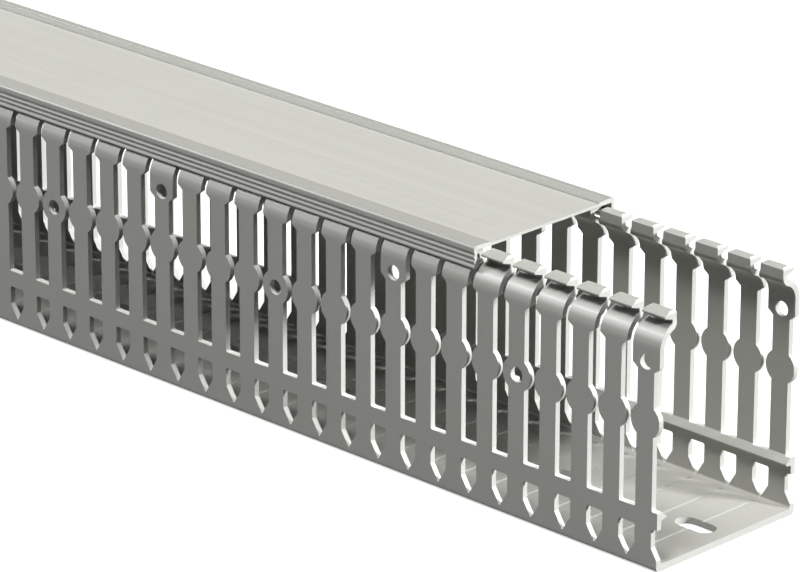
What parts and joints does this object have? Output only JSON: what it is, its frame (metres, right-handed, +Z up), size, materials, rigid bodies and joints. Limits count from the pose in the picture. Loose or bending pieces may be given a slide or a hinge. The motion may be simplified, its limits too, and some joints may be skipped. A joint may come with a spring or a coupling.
{
  "type": "slotted wire duct",
  "caption": "Open-slot wiring duct: U channel with bulged, T-headed finger walls, break-out windows, slotted base and a ribbed snap cover that slides along the finger heads.",
  "frame": {"origin": "middle of the channel's underside, halfway along the channel and halfway between its walls", "axes": "+X along the duct towards its open end, +Y across the duct, +Z up from the base to the cover"},
  "size_m": [1.0725, 0.06, 0.08],
  "materials": {
    "channel_pvc": "satin grey PVC",
    "cover_pvc": "satin grey PVC"
  },
  "bodies": {
    "duct": {"channel": "channel_pvc"},
    "lid": {"cover": "cover_pvc"}
  },
  "joints": [
    {"name": "cover_slide", "type": "slide", "parent": "duct", "child": "lid", "axis": [1, 0, 0], "range_m": [-0.4275, 0.0725]}
  ]
}
